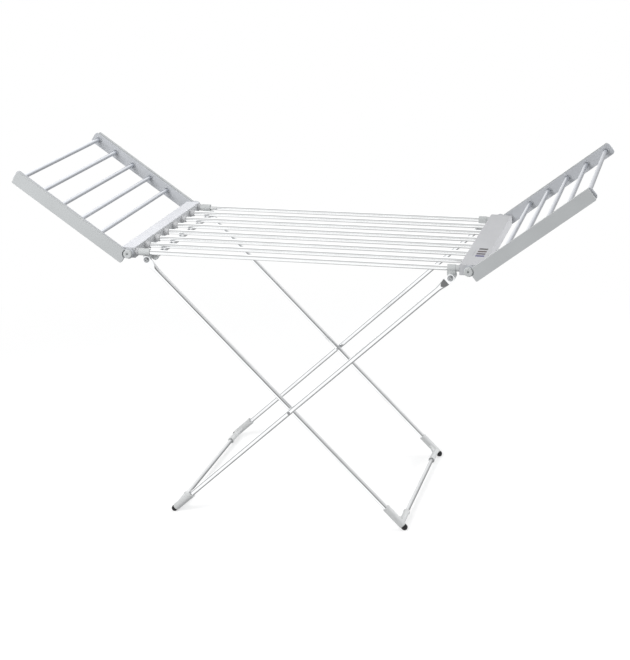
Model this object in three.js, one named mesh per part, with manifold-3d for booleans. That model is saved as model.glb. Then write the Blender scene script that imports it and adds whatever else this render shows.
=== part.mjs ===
// Heated clothes airer: eight heated bars between two end housings, a hinged wing of five rungs
// at each end, and two crossing leg frames. Millimetres, +Z up, long side along X, front towards -Y.

import * as THREE from 'three';
import { mergeVertices } from 'three/addons/utils/BufferGeometryUtils.js';
import Module from 'manifold-3d';

const wasm = await Module();
wasm.setup();

// Rack of heated bars: heights over the floor, distances from the middle of the rack.
const bar_height = 653;
const bar_count = 8;
const bar_radius = 6;
const bar_wall = 1;
const bar_entry = 6.5;
const bar_end_clearance = 0.8;

// End housings: moulded covers with a plate screwed on underneath.
const housing_half_length = 228;
const housing_height = 25;
const housing_top_rise = 12;
const housing_wall = 2.2;
const housing_edge_radius = 2.5;
const left_housing_inner = 390;
const left_housing_width = 35;
const right_housing_inner = 380;
const right_housing_width = 53.5;
const plate_thickness = 2.4;

// Leg pivots under the outer bars, and how far each foot stands from its own pivot.
const leg_pivot_spacing = 726;
const leg_pivot_drop = 17;
const outer_foot_reach = 692;
const inner_foot_reach = 622;
const inner_leg_offset = 5.5;
const outer_leg_offset = 23;
const leg_radius = 6;
const leg_wall = 1.1;

// Wings: hinge axes, rung spacing and the angle at which each wing stands.
const left_pivot_inset = 13;
const right_pivot_inset = 23;
const left_wing_rise = 35;
const right_wing_rise = 37.6;
const rung_count = 5;
const rung_clearance = 55.5;
const rung_pitch = 56.25;
const rung_radius = 5;
const rung_wall = 0.8;
const rung_rise = 2.2;
const rail_height = 31;
const rail_drop = 12.5;
const rail_inner_layer = 8.3;
const rail_outer_layer = 8.7;
const rail_start = 2;
const rail_end_margin = 16;

// Shared clearances and the fineness of round forms.
const gap = 0.3;
const cut_overrun = 1;
const weld_distance = 1e-4;
const tube_sides = 14;
const hole_sides = 12;
const small_sides = 10;

const half_turn = Math.PI;
const quarter_turn = Math.PI / 2;
const sides = { front: -1, back: 1 };

const finishes = {
  bar_aluminium: { color: 0xd3d6d8, roughness: 0.3, metalness: 0.9 },
  leg_aluminium: { color: 0xcfd2d4, roughness: 0.28, metalness: 0.9 },
  rung_aluminium: { color: 0xb4b8be, roughness: 0.35, metalness: 0.85 },
  white_plastic: { color: 0xdfe0e3, roughness: 0.55, metalness: 0 },
  control_plastic: { color: 0xc9cace, roughness: 0.55, metalness: 0 },
  rail_plastic: { color: 0xb9bdbf, roughness: 0.5, metalness: 0 },
  fitting_plastic: { color: 0xcacccc, roughness: 0.5, metalness: 0 },
  foot_rubber: { color: 0x121212, roughness: 0.8, metalness: 0 },
  screw_steel: { color: 0xa9acae, roughness: 0.3, metalness: 1 },
  wire_silicone: { color: 0xd9d2c3, roughness: 0.7, metalness: 0 },
  block_nylon: { color: 0xe8e4d8, roughness: 0.6, metalness: 0 },
};

function place(parent, name, geometry, finish) {
  const mesh = new THREE.Mesh(geometry, new THREE.MeshStandardMaterial(finishes[finish]));
  mesh.name = name;
  parent.add(mesh);
}

function bodyOf(geometry) {
  const plain = geometry.clone();
  plain.deleteAttribute('normal');
  plain.deleteAttribute('uv');
  const welded = mergeVertices(plain, weld_distance);
  const mesh = new wasm.Mesh({
    numProp: 3,
    vertProperties: new Float32Array(welded.attributes.position.array),
    triVerts: new Uint32Array(welded.index.array),
  });
  return new wasm.Manifold(mesh);
}

function geometryOf(body) {
  const mesh = body.getMesh();
  const geometry = new THREE.BufferGeometry();
  geometry.setAttribute('position', new THREE.BufferAttribute(mesh.vertProperties, 3));
  geometry.setIndex(new THREE.BufferAttribute(mesh.triVerts, 1));
  geometry.computeVertexNormals();
  return geometry;
}

function join(...geometries) {
  return geometryOf(geometries.map(bodyOf).reduce((whole, piece) => whole.add(piece)));
}

function cut(geometry, ...tools) {
  return geometryOf(tools.map(bodyOf).reduce((rest, tool) => rest.subtract(tool), bodyOf(geometry)));
}

function turnedTo(axis, geometry) {
  if (axis === 'x') geometry.rotateZ(-quarter_turn);
  if (axis === 'z') geometry.rotateX(quarter_turn);
  return geometry;
}

// A round form about an axis, from [radius, place along the axis] points that start and end on the axis.
function turned(axis, points, round = tube_sides) {
  const profile = points.map(([radius, along]) => new THREE.Vector2(radius, along));
  return turnedTo(axis, new THREE.LatheGeometry(profile, round));
}

function rod(axis, radius, start, end, round = tube_sides) {
  const low = Math.min(start, end);
  const high = Math.max(start, end);
  return turned(axis, [[0, low], [radius, low], [radius, high], [0, high]], round);
}

function pipe(axis, outer, bore, start, end, round = tube_sides) {
  const low = Math.min(start, end);
  const high = Math.max(start, end);
  return turned(axis, [[bore, low], [outer, low], [outer, high], [bore, high], [bore, low]], round);
}

function block([x0, x1], [y0, y1], [z0, z1]) {
  const geometry = new THREE.BoxGeometry(Math.abs(x1 - x0), Math.abs(y1 - y0), Math.abs(z1 - z0));
  return geometry.translate((x0 + x1) / 2, (y0 + y1) / 2, (z0 + z1) / 2);
}

// An outline in the X-Z plane carried along Y, with its end edges bevelled.
function carriedAlongY(shape, start, end, bevel = 0) {
  const low = Math.min(start, end);
  const high = Math.max(start, end);
  const geometry = new THREE.ExtrudeGeometry(shape, {
    depth: high - low - 2 * bevel,
    bevelEnabled: bevel > 0,
    bevelThickness: bevel,
    bevelSize: bevel,
    bevelOffset: -bevel,
    bevelSegments: 1,
    curveSegments: 3,
  });
  return geometry.rotateX(quarter_turn).translate(0, high - bevel, 0);
}

// An outline through corner points, each rounded by its own radius.
function roundedOutline(corners) {
  const shape = new THREE.Shape();
  corners.forEach(([x, z, radius], index) => {
    const here = new THREE.Vector2(x, z);
    const before = new THREE.Vector2(...corners.at(index - 1).slice(0, 2));
    const after = new THREE.Vector2(...corners[(index + 1) % corners.length].slice(0, 2));
    const arrive = here.clone().add(before.sub(here).setLength(radius));
    const leave = here.clone().add(after.sub(here).setLength(radius));
    if (index === 0) shape.moveTo(arrive.x, arrive.y);
    else shape.lineTo(arrive.x, arrive.y);
    if (radius > 0) shape.quadraticCurveTo(here.x, here.y, leave.x, leave.y);
  });
  shape.closePath();
  return shape;
}

// A closed skin over rings of points, each ring anticlockwise when seen from the one before it.
function skinned(rings) {
  const round = rings[0].length;
  const points = rings.flat();
  const faces = [];
  for (let ring = 0; ring < rings.length - 1; ring += 1) {
    for (let step = 0; step < round; step += 1) {
      const a = ring * round + step;
      const b = ring * round + (step + 1) % round;
      faces.push(a, a + round, b, b, a + round, b + round);
    }
  }
  const middle = (ring) => ring.reduce((sum, point) => sum.add(point), new THREE.Vector3())
    .divideScalar(round);
  const first = points.push(middle(rings[0])) - 1;
  const last = points.push(middle(rings.at(-1))) - 1;
  const last_ring = (rings.length - 1) * round;
  for (let step = 0; step < round; step += 1) {
    const next = (step + 1) % round;
    faces.push(first, step, next, last, last_ring + next, last_ring + step);
  }
  const geometry = new THREE.BufferGeometry().setFromPoints(points);
  geometry.setIndex(faces);
  geometry.computeVertexNormals();
  return geometry;
}

const airer = new THREE.Group();
const rack = new THREE.Group();
airer.add(rack);

// The outer bars lie as close to the housings' end walls as their radius and a clearance allow.
const bar_half_span = housing_half_length - housing_wall - bar_end_clearance - bar_radius;
const bar_places = Array.from(
  { length: bar_count },
  (_, index) => bar_half_span * (2 * index / (bar_count - 1) - 1),
);
const housing_top = bar_height + housing_top_rise;
const bar_left_end = -left_housing_inner - bar_entry;
const bar_right_end = right_housing_inner + bar_entry;
const bar_hole_radius = bar_radius + gap;
const left_wing_pivot = -left_housing_inner - left_pivot_inset;
const right_wing_pivot = right_housing_inner + right_pivot_inset;
const wing_pivot_height = housing_top - housing_height / 2;

// Wing pivot bolts: a wide round cap over the rail's tongue, its shank in a boss of the housing cover.
const bolt_radius = 4;
const bolt_hole_radius = bolt_radius + gap;
const bolt_grip = 6.5;
const cap_radius = 10.3;
const cap_edge = 1;
const cap_dimple_radius = 1.6;
const cap_dimple_depth = 1.2;
const boss_radius = 9;
const boss_rise = 1.7;
const rail_inner_face = housing_half_length + boss_rise + gap;
const tongue_outer_face = rail_inner_face + rail_inner_layer;
const rail_outer_face = tongue_outer_face + rail_outer_layer;

function wingPivotBolt(pivot_x, side) {
  const start = housing_half_length - bolt_grip;
  const seat = tongue_outer_face + gap;
  const top = rail_outer_face - cap_edge;
  const profile = [
    [0, start],
    [bolt_radius, start],
    [bolt_radius, seat],
    [cap_radius, seat],
    [cap_radius, top - cap_edge],
    [cap_radius - cap_edge, top],
    [cap_dimple_radius, top],
    [cap_dimple_radius, top - cap_dimple_depth],
    [0, top - cap_dimple_depth],
  ];
  const bolt = turned('y', profile);
  if (side < 0) bolt.rotateX(half_turn);
  return bolt.translate(pivot_x, 0, wing_pivot_height);
}

// Housing covers: a deep moulded shell, open underneath, with a hole for each bar in its inner wall,
// a hinge boss on each end and posts for the screws of the plate underneath. The left cover has
// a round collar moulded on round each bar, shorter on the two bars that carry a sliding bracket.
const collar_radius = 8;
const collar_length = 12;
const outer_collar_length = 6.5;
const post_radius = 4;
const post_hole_radius = 1.6;
const inner_boss_radius = 6;
const housing_bottom = housing_top - housing_height;
const plate_top = housing_bottom + gap + plate_thickness;

function housingCover({ outline, cavity, inner_x, outward, pivot_x, posts, collars }) {
  const inner_length = housing_half_length - housing_wall;
  const shell = cut(
    carriedAlongY(outline, -housing_half_length, housing_half_length, housing_wall / 2),
    carriedAlongY(cavity, -inner_length, inner_length),
  );
  const bosses = Object.values(sides).flatMap((side) => [
    rod('y', boss_radius, side * inner_length, side * (housing_half_length + boss_rise)),
    rod(
      'y', inner_boss_radius, side * (housing_half_length - bolt_grip), side * housing_half_length, hole_sides,
    ),
  ].map((boss) => boss.translate(pivot_x, 0, wing_pivot_height)));
  const screw_posts = posts.map(([x, y]) => rod(
    'z', post_radius, plate_top + gap, housing_top - housing_wall / 2, small_sides,
  ).translate(x, y, 0));
  const bar_collars = collars.map((length, index) => rod(
    'x', collar_radius, inner_x + outward * housing_wall, inner_x - outward * length, hole_sides,
  ).translate(0, bar_places[index], bar_height));
  const bolt_holes = Object.values(sides).map((side) => rod(
    'y', bolt_hole_radius,
    side * (housing_half_length - bolt_grip - cut_overrun),
    side * (housing_half_length + boss_rise + cut_overrun), small_sides,
  ).translate(pivot_x, 0, wing_pivot_height));
  const bar_holes = bar_places.map((y) => rod(
    'x', bar_hole_radius,
    inner_x - outward * (collar_length + cut_overrun), inner_x + outward * (housing_wall + cut_overrun),
    hole_sides,
  ).translate(0, y, bar_height));
  const post_holes = posts.map(([x, y]) => rod(
    'z', post_hole_radius, housing_bottom, bar_height, small_sides,
  ).translate(x, y, 0));
  return cut(join(shell, ...bosses, ...screw_posts, ...bar_collars), ...bolt_holes, ...bar_holes, ...post_holes);
}

// Plates under the housings, with a saddle that holds each bar up and a hole for each screw.
const saddle_width = 16;
const saddle_length = 3.8;
const screw_hole_radius = 1.9;

function housingPlate({ inner_x, outer_x, outward, posts, inlet }) {
  const low = housing_bottom + gap;
  const reach = housing_half_length - housing_wall - gap;
  const inner = inner_x + outward * (housing_wall + gap);
  const outer = outer_x - outward * (housing_wall + gap);
  const saddles = bar_places.map((y) => {
    const near = Math.max(y - saddle_width / 2, -reach);
    const far = Math.min(y + saddle_width / 2, reach);
    return block([inner, inner + outward * saddle_length], [near, far], [low, bar_height]);
  });
  const bar_seats = bar_places.map((y) => rod(
    'x', bar_hole_radius, inner - outward * cut_overrun, inner + outward * (saddle_length + cut_overrun),
    hole_sides,
  ).translate(0, y, bar_height));
  const screw_holes = [...posts.map(([x, y]) => [x, y, screw_hole_radius]), ...inlet].map(
    ([x, y, radius]) => rod('z', radius, low - cut_overrun, plate_top + cut_overrun, small_sides)
      .translate(x, y, 0),
  );
  const plate = block([inner, outer], [-reach, reach], [low, plate_top]);
  return cut(join(plate, ...saddles), ...bar_seats, ...screw_holes);
}

// Left housing: a plain narrow box. Its screws stand between the pairs of bars that share a wire loop.
const bar_pitch = 2 * bar_half_span / (bar_count - 1);
const left_outer = -left_housing_inner - left_housing_width;
const left_post_x = -left_housing_inner - left_housing_width / 2;
const left_posts = [-2, 0, 2].map((count) => [left_post_x, count * bar_pitch]);

function boxProfile(low_x, high_x, low_z, high_z, radius) {
  return roundedOutline([
    [low_x, low_z, 0],
    [high_x, low_z, 0],
    [high_x, high_z, radius],
    [low_x, high_z, radius],
  ]);
}

function housingProfiles(low_x, high_x) {
  return {
    outline: boxProfile(low_x, high_x, housing_bottom, housing_top, housing_edge_radius),
    cavity: boxProfile(
      low_x + housing_wall, high_x - housing_wall,
      housing_bottom - cut_overrun, housing_top - housing_wall, housing_edge_radius / 2,
    ),
  };
}

const left_housing = {
  ...housingProfiles(left_outer, -left_housing_inner),
  inner_x: -left_housing_inner,
  outer_x: left_outer,
  outward: -1,
  pivot_x: left_wing_pivot,
  posts: left_posts,
  collars: bar_places.map((y) => (Math.abs(y) < bar_half_span ? collar_length : outer_collar_length)),
  inlet: [],
};
place(rack, 'left_housing_cover', housingCover(left_housing), 'white_plastic');
place(rack, 'left_housing_plate', housingPlate(left_housing), 'white_plastic');

// Right housing: a wider box of the same height. It holds the terminal block and the cord inlet.
const right_outer = right_housing_inner + right_housing_width;
const right_post_x = right_housing_inner + left_housing_width / 2;
const right_posts = [-3, -1, 1, 3].map((count) => [right_post_x, count * bar_pitch]);
const lead_share = 0.66;
const lead_x = right_housing_inner + right_housing_width * lead_share;
const inlet_share = 0.9;
const inlet_place = -bar_half_span * inlet_share;
const inlet_radius = 5;

const right_housing = {
  ...housingProfiles(right_housing_inner, right_outer),
  inner_x: right_housing_inner,
  outer_x: right_outer,
  outward: 1,
  pivot_x: right_wing_pivot,
  posts: right_posts,
  collars: [],
  inlet: [[lead_x, inlet_place, inlet_radius + gap]],
};
place(rack, 'right_housing_cover', housingCover(right_housing), 'control_plastic');
place(rack, 'right_housing_plate', housingPlate(right_housing), 'control_plastic');

// Cord inlet: a flanged bush through the right housing's plate.
const inlet_bore_radius = 3.6;
const inlet_flange_radius = 8;
const inlet_flange_height = 2;
const inlet_top = plate_top + inlet_flange_height;
place(rack, 'cord_inlet_bush', turned('z', [
  [inlet_bore_radius, housing_bottom - inlet_flange_height],
  [inlet_flange_radius, housing_bottom - inlet_flange_height],
  [inlet_flange_radius, housing_bottom],
  [inlet_radius, housing_bottom],
  [inlet_radius, inlet_top],
  [inlet_bore_radius, inlet_top],
  [inlet_bore_radius, housing_bottom - inlet_flange_height],
]).translate(lead_x, inlet_place, 0), 'foot_rubber');

// Heated bars: thin tubes that end inside the housings.
bar_places.forEach((y, index) => {
  const name = { 0: 'front_bar', [bar_count - 1]: 'back_bar' }[index] ?? `middle_bar_${index}`;
  const tube = pipe('x', bar_radius, bar_radius - bar_wall, bar_left_end, bar_right_end);
  place(rack, name, tube.translate(0, y, bar_height), 'bar_aluminium');
});

// Fixed leg brackets on the outer bars at the right, each with a neck that reaches the housing.
const pivot_height = bar_height - leg_pivot_drop;
const outer_pivot_x = leg_pivot_spacing / 2;
const inner_pivot_x = -leg_pivot_spacing / 2;
const inner_leg_plane = bar_half_span + inner_leg_offset;
const outer_leg_plane = bar_half_span + outer_leg_offset;
const tab_thickness = 3;
const tab_radius = 9.2;
const sleeve_radius = 8.5;
const lug_radius = 9.2;
const fixed_bracket_left = 11;
const fixed_bracket_right = 8;
const neck_radius = 7.4;
const pivot_screw_radius = 2.7;
const pivot_hole_radius = pivot_screw_radius + gap;

function fixedBracket(side) {
  const lug_face = side * (outer_leg_plane - tab_thickness / 2 - gap);
  const lug_back = side * (bar_half_span - sleeve_radius + gap);
  const low_x = outer_pivot_x - fixed_bracket_left;
  const high_x = outer_pivot_x + fixed_bracket_right;
  const sleeve = rod('x', sleeve_radius, low_x, high_x).translate(0, side * bar_half_span, bar_height);
  const neck = rod('x', neck_radius, low_x, right_housing_inner - gap)
    .translate(0, side * bar_half_span, bar_height);
  const web = block(
    [low_x, high_x], [lug_back, side * (bar_half_span + bar_radius)], [pivot_height, bar_height],
  );
  const lug = rod('y', lug_radius, lug_back, lug_face).translate(outer_pivot_x, 0, pivot_height);
  const bore = rod('x', bar_hole_radius, low_x - cut_overrun, right_housing_inner + cut_overrun)
    .translate(0, side * bar_half_span, bar_height);
  const screw_hole = rod(
    'y', pivot_hole_radius, lug_back - side * cut_overrun, lug_face + side * cut_overrun, small_sides,
  ).translate(outer_pivot_x, 0, pivot_height);
  return cut(join(sleeve, neck, web, lug), bore, screw_hole);
}

for (const [where, side] of Object.entries(sides)) {
  place(rack, `fixed_bracket_${where}`, fixedBracket(side), 'fitting_plastic');
}

// Leg pivot screws: a washer face and a domed head with a socket, outside the leg's flattened end.
const washer_radius = 7;
const washer_height = 0.9;
const screw_head_radius = 5.2;
const screw_head_height = 3;
const screw_socket_radius = 2;
const screw_socket_depth = 1.8;

function pivotScrew(pivot_x, leg_plane, root_plane, side) {
  const seat = leg_plane + tab_thickness / 2 + gap;
  const top = seat + washer_height + screw_head_height;
  const profile = [
    [0, root_plane],
    [pivot_screw_radius, root_plane],
    [pivot_screw_radius, seat],
    [washer_radius, seat],
    [washer_radius, seat + washer_height],
    [screw_head_radius, seat + washer_height],
    [screw_head_radius, top - screw_head_height / 3],
    [(screw_head_radius + screw_socket_radius) / 2, top],
    [screw_socket_radius, top],
    [screw_socket_radius, top - screw_socket_depth],
    [0, top - screw_socket_depth],
  ];
  const screw = turned('y', profile, small_sides);
  if (side < 0) screw.rotateX(half_turn);
  return screw.translate(pivot_x, 0, pivot_height);
}

for (const [where, side] of Object.entries(sides)) {
  const screw = pivotScrew(outer_pivot_x, outer_leg_plane, bar_half_span, side);
  place(rack, `outer_leg_screw_${where}`, screw, 'screw_steel');
  place(rack, `left_wing_bolt_${where}`, wingPivotBolt(left_wing_pivot, side), 'fitting_plastic');
  place(rack, `right_wing_bolt_${where}`, wingPivotBolt(right_wing_pivot, side), 'fitting_plastic');
}

// Heating wire: one silicone wire that runs up and down through all the bars, lying on their bores,
// with a flat loop in the housings at each turn and both leads brought to the terminal block.
const wire_radius = 2;
const wire_sides = 5;
const loop_steps = 5;
const loop_depth = 14;
const lead_corner = 12;
const wire_height = bar_height - bar_radius + bar_wall + wire_radius + gap;
const block_length = 34;
const block_width = 16;
const block_share = 0.6;
const block_place = -bar_half_span * block_share;

function wirePath() {
  const points = [];
  const turn = (middle, reach_x, reach_y, start, end) => {
    for (let step = 0; step <= loop_steps; step += 1) {
      const angle = start + (end - start) * step / loop_steps;
      points.push([middle[0] + reach_x * Math.cos(angle), middle[1] + reach_y * Math.sin(angle)]);
    }
  };
  const front = bar_places[0];
  const back = bar_places.at(-1);
  const corner_x = lead_x - lead_corner;
  points.push([lead_x, block_place - block_length / 2 - gap]);
  turn([corner_x, front + lead_corner], lead_corner, lead_corner, 0, -quarter_turn);
  bar_places.slice(0, -1).forEach((y, index) => {
    const middle_y = y + bar_pitch / 2;
    if (index % 2 === 0) turn([bar_left_end, middle_y], -loop_depth, -bar_pitch / 2, quarter_turn, -quarter_turn);
    else turn([bar_right_end, middle_y], loop_depth, bar_pitch / 2, -quarter_turn, quarter_turn);
  });
  turn([corner_x, back - lead_corner], lead_corner, lead_corner, quarter_turn, 0);
  points.push([lead_x, block_place + block_length / 2 + gap]);
  return points.map(([x, y]) => new THREE.Vector3(x, y, wire_height));
}

function sweptWire(path) {
  const up = new THREE.Vector3(0, 0, 1);
  return skinned(path.map((point, index) => {
    const before = path[Math.max(index - 1, 0)];
    const after = path[Math.min(index + 1, path.length - 1)];
    const across = up.clone().cross(after.clone().sub(before).normalize());
    return Array.from({ length: wire_sides }, (_, step) => {
      const angle = 2 * Math.PI * step / wire_sides;
      return point.clone()
        .addScaledVector(up, wire_radius * Math.cos(angle))
        .addScaledVector(across, wire_radius * Math.sin(angle));
    });
  }));
}

place(rack, 'heating_wire', sweptWire(wirePath()), 'wire_silicone');

// Terminal block with two screw wells, and the thermal cut-out clipped round the wire's long lead.
const block_top_rise = 5;
const well_radius = 2.5;
const well_depth = 4;
const cutout_length = 20;
const cutout_width = 11;
const block_top = wire_height + block_top_rise;

place(rack, 'terminal_block', cut(
  block(
    [lead_x - block_width / 2, lead_x + block_width / 2],
    [block_place - block_length / 2, block_place + block_length / 2],
    [plate_top + gap, block_top],
  ),
  ...[-1, 1].map((end) => rod('z', well_radius, block_top - well_depth, block_top + cut_overrun, small_sides)
    .translate(lead_x, block_place + end * block_length / 4, 0)),
), 'block_nylon');

place(rack, 'thermal_cutout', cut(
  block(
    [lead_x - cutout_width / 2, lead_x + cutout_width / 2],
    [-cutout_length / 2, cutout_length / 2],
    [plate_top + gap, block_top],
  ),
  rod('y', wire_radius + gap, -cutout_length, cutout_length, small_sides).translate(lead_x, 0, wire_height),
), 'block_nylon');

// Slide: a sleeve on each outer bar with a lug for the leg and an arm for the tube that ties both.
const slide = new THREE.Group();
slide.position.set(inner_pivot_x, 0, pivot_height);
airer.add(slide);
const slide_stop_clearance = 0.5;
const sleeve_left = leg_pivot_spacing / 2 - left_housing_inner + outer_collar_length + slide_stop_clearance;
const sleeve_right = 8;
const slide_tube_radius = 6;
const slide_tube_wall = 1;
const slide_tube_along = 15;
const slide_tube_rise = 4;
const arm_thickness = 7.5;
const arm_socket_radius = 8.3;
const arm_socket_depth = 5;
const arm_outer = bar_half_span - sleeve_radius - 2 * gap;

function slideBracket(side) {
  const bar_rise = leg_pivot_drop;
  const lug_face = side * (inner_leg_plane - tab_thickness / 2 - gap);
  const lug_back = side * (bar_half_span - bar_radius);
  const arm_back = side * (arm_outer - arm_thickness);
  const arm_face = side * arm_outer;
  const sleeve = rod('x', sleeve_radius, sleeve_left, sleeve_right)
    .translate(0, side * bar_half_span, bar_rise);
  const web = block([-lug_radius, sleeve_right], [lug_back, lug_face], [0, bar_rise]);
  const lug = rod('y', lug_radius - gap, lug_back, lug_face);
  const arm = block(
    [-lug_radius, slide_tube_along], [arm_back, arm_face], [slide_tube_rise, bar_rise - bar_radius],
  );
  const bridge = block(
    [-lug_radius, sleeve_right], [arm_back, side * bar_half_span], [slide_tube_rise, bar_rise - bar_radius],
  );
  const socket = rod('y', arm_socket_radius, arm_back, arm_face)
    .translate(slide_tube_along, 0, slide_tube_rise);
  const bore = rod('x', bar_hole_radius, sleeve_left - cut_overrun, sleeve_right + cut_overrun)
    .translate(0, side * bar_half_span, bar_rise);
  const screw_hole = rod(
    'y', pivot_hole_radius, lug_back - side * cut_overrun, lug_face + side * cut_overrun, small_sides,
  );
  const tube_seat = rod(
    'y', slide_tube_radius + gap, arm_back - side * cut_overrun, arm_back + side * arm_socket_depth,
  ).translate(slide_tube_along, 0, slide_tube_rise);
  return cut(join(sleeve, web, lug, arm, bridge, socket), bore, screw_hole, tube_seat);
}

for (const [where, side] of Object.entries(sides)) {
  place(slide, `slide_bracket_${where}`, slideBracket(side), 'fitting_plastic');
  const screw = pivotScrew(0, inner_leg_plane, bar_half_span - bar_radius, side);
  place(slide, `inner_leg_screw_${where}`, screw.translate(0, 0, -pivot_height), 'screw_steel');
}
const slide_tube_end = arm_outer - arm_thickness + arm_socket_depth - gap;
place(slide, 'slide_tube', pipe(
  'y', slide_tube_radius, slide_tube_radius - slide_tube_wall, -slide_tube_end, slide_tube_end,
).translate(slide_tube_along, 0, slide_tube_rise), 'bar_aluminium');

// Leg frames: each hangs from its pivot down its own local Z, tilted to its foot. The crossing pivot
// is where the two frames meet at one height.
const outer_tilt = Math.atan2(outer_foot_reach, pivot_height);
const inner_tilt = -Math.atan2(inner_foot_reach, pivot_height);
const crossing_share = leg_pivot_spacing / (outer_foot_reach + inner_foot_reach);
const tab_reach = 12;
const flare_length = 30;
const press_length = 16;
const flare_steps = 4;
const tip_angles = [24, 55];
const leg_bore_start = 60;
const crest_share = 0.556;
const flat_shares = [1, 1 / 3, -1 / 3, -1];
const edge_shares = [0.6, 0.2, -0.2, -0.6];

// One ring of a leg tube: an ellipse pressed flat between two planes. The points on each flat run
// from crease to crease, so a keen edge parts the flat from the rounded sides.
function legRing(distance, half_width, half_round, half_press) {
  const rise = (x) => Math.min(half_press, half_round * Math.sqrt(1 - (x / half_width) ** 2));
  const pressed = Math.sqrt(Math.max(1 - (half_press / half_round) ** 2, 0));
  const crease = half_width * Math.max(pressed, crest_share);
  const side_angle = Math.acos(crease / half_width);
  const flat = flat_shares.map((share) => [share * crease, rise(share * crease)]);
  const edge = edge_shares.map((share) => [
    -half_width * Math.cos(share * side_angle), half_round * Math.sin(share * side_angle),
  ]);
  const half = [...flat, ...edge];
  const whole = [...half, ...half.map(([x, y]) => [-x, -y])];
  return whole.map(([x, y]) => new THREE.Vector3(x, y, -distance));
}

// A leg tube: a round end pressed flat round the pivot. Past the flat two sloped faces run out over
// the crest of the tube, while its sides draw in to the round. The lower end is open.
function legTube(tube_end, crossing) {
  const thin = tab_thickness / 2;
  const bore = leg_radius - leg_wall;
  const rings = tip_angles.map((degrees) => {
    const angle = THREE.MathUtils.degToRad(degrees);
    return legRing(-tab_radius * Math.cos(angle), tab_radius * Math.sin(angle), leg_radius, thin);
  });
  rings.push(legRing(0, tab_radius, leg_radius, thin));
  for (let step = 0; step <= flare_steps; step += 1) {
    const reach = flare_length * step / flare_steps;
    const drawn_in = THREE.MathUtils.smoothstep(reach, 0, flare_length);
    const pressed = Math.min(reach / press_length, 1);
    rings.push(legRing(
      tab_reach + reach,
      THREE.MathUtils.lerp(tab_radius, leg_radius, drawn_in),
      leg_radius,
      THREE.MathUtils.lerp(thin, leg_radius, pressed),
    ));
  }
  rings.push(legRing(tube_end, leg_radius, leg_radius, leg_radius));
  rings.push(legRing(tube_end, bore, bore, bore));
  rings.push(legRing(leg_bore_start, bore, bore, bore));
  const reach = 2 * leg_radius;
  return cut(
    skinned(rings),
    rod('y', pivot_hole_radius + gap, -reach, reach, small_sides),
    rod('y', pin_radius + gap, -reach, reach, small_sides).translate(0, 0, -crossing),
  );
}

// Corner fittings: a long socket for the leg, a side socket for the floor bar with a gusset between,
// and a rubber foot plugged into the lower end.
const foot_radius = 7.5;
const foot_flat = 1.2;
const foot_height = 13.7;
const plug_radius = 5;
const plug_length = 7;
const fitting_radius = 8.8;
const fitting_rim = 0.6;
const fitting_rim_length = 3;
const fitting_length = 60;
const fitting_bore_start = 12;
const branch_radius = 7.2;
const branch_rim = 1.1;
const branch_length = 66;
const floor_bar_radius = 5;
const floor_bar_wall = 0.9;
const floor_bar_rise = 21;
const branch_bore_start = 12;
const gusset_thickness = 5;
const gusset_length = 22;
const pin_radius = 2.5;
const pin_head_radius = 3.4;
const pin_head_height = 2;
const shoulder_radius = 5;

function socketProfile(start, end, radius, rim) {
  const rim_start = end - fitting_rim_length;
  return [
    [0, start],
    [radius - rim, start],
    [radius, start + fitting_rim_length],
    [radius, rim_start],
    [radius + rim, rim_start],
    [radius + rim, end],
    [0, end],
  ];
}

function cornerFitting(leg_length, leg_plane, side) {
  const low = -leg_length + foot_height;
  const high = low + fitting_length;
  const branch_z = -leg_length + floor_bar_rise;
  const y = side * leg_plane;
  const inward = -side;
  const socket = turned('z', socketProfile(low, high, fitting_radius, fitting_rim)).translate(0, y, 0);
  const branch = turned('y', socketProfile(0, branch_length, branch_radius, branch_rim), hole_sides);
  if (inward < 0) branch.rotateX(half_turn);
  branch.translate(0, y, branch_z);
  const gusset = new THREE.Shape([
    new THREE.Vector2(0, 0),
    new THREE.Vector2(inward * (fitting_radius + gusset_length), 0),
    new THREE.Vector2(0, branch_radius + gusset_length),
  ]);
  const web = new THREE.ExtrudeGeometry(gusset, { depth: gusset_thickness, bevelEnabled: false });
  web.rotateX(quarter_turn).rotateZ(quarter_turn).translate(-gusset_thickness / 2, y, branch_z);
  const leg_bore = rod('z', leg_radius + gap, branch_z + fitting_bore_start, high + cut_overrun)
    .translate(0, y, 0);
  const bar_bore = rod(
    'y', floor_bar_radius + gap, y + inward * branch_bore_start, y + inward * (branch_length + cut_overrun),
    hole_sides,
  ).translate(0, 0, branch_z);
  const plug_bore = rod('z', plug_radius + gap, low - cut_overrun, low + plug_length + gap, hole_sides)
    .translate(0, y, 0);
  return cut(join(socket, branch, web), leg_bore, bar_bore, plug_bore);
}

function rubberFoot(leg_length, leg_plane, tilt, side) {
  const shift = -leg_length;
  const dome = shift + (foot_radius - foot_flat) / Math.cos(tilt);
  const seat = shift + foot_height - gap;
  const dome_steps = 3;
  const profile = [];
  for (let step = 0; step <= dome_steps; step += 1) {
    const angle = quarter_turn * step / dome_steps;
    profile.push([foot_radius * Math.sin(angle), dome - foot_radius * Math.cos(angle)]);
  }
  profile.push([foot_radius, seat]);
  profile.push([plug_radius, seat]);
  profile.push([plug_radius, seat + plug_length]);
  profile.push([0, seat + plug_length]);
  const size = 4 * foot_radius;
  const floor = new THREE.BoxGeometry(size, size, size)
    .translate(leg_length * -Math.sin(tilt), 0, -pivot_height - size / 2)
    .rotateY(-tilt);
  return cut(turned('z', profile), floor).translate(0, side * leg_plane, 0);
}

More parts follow.
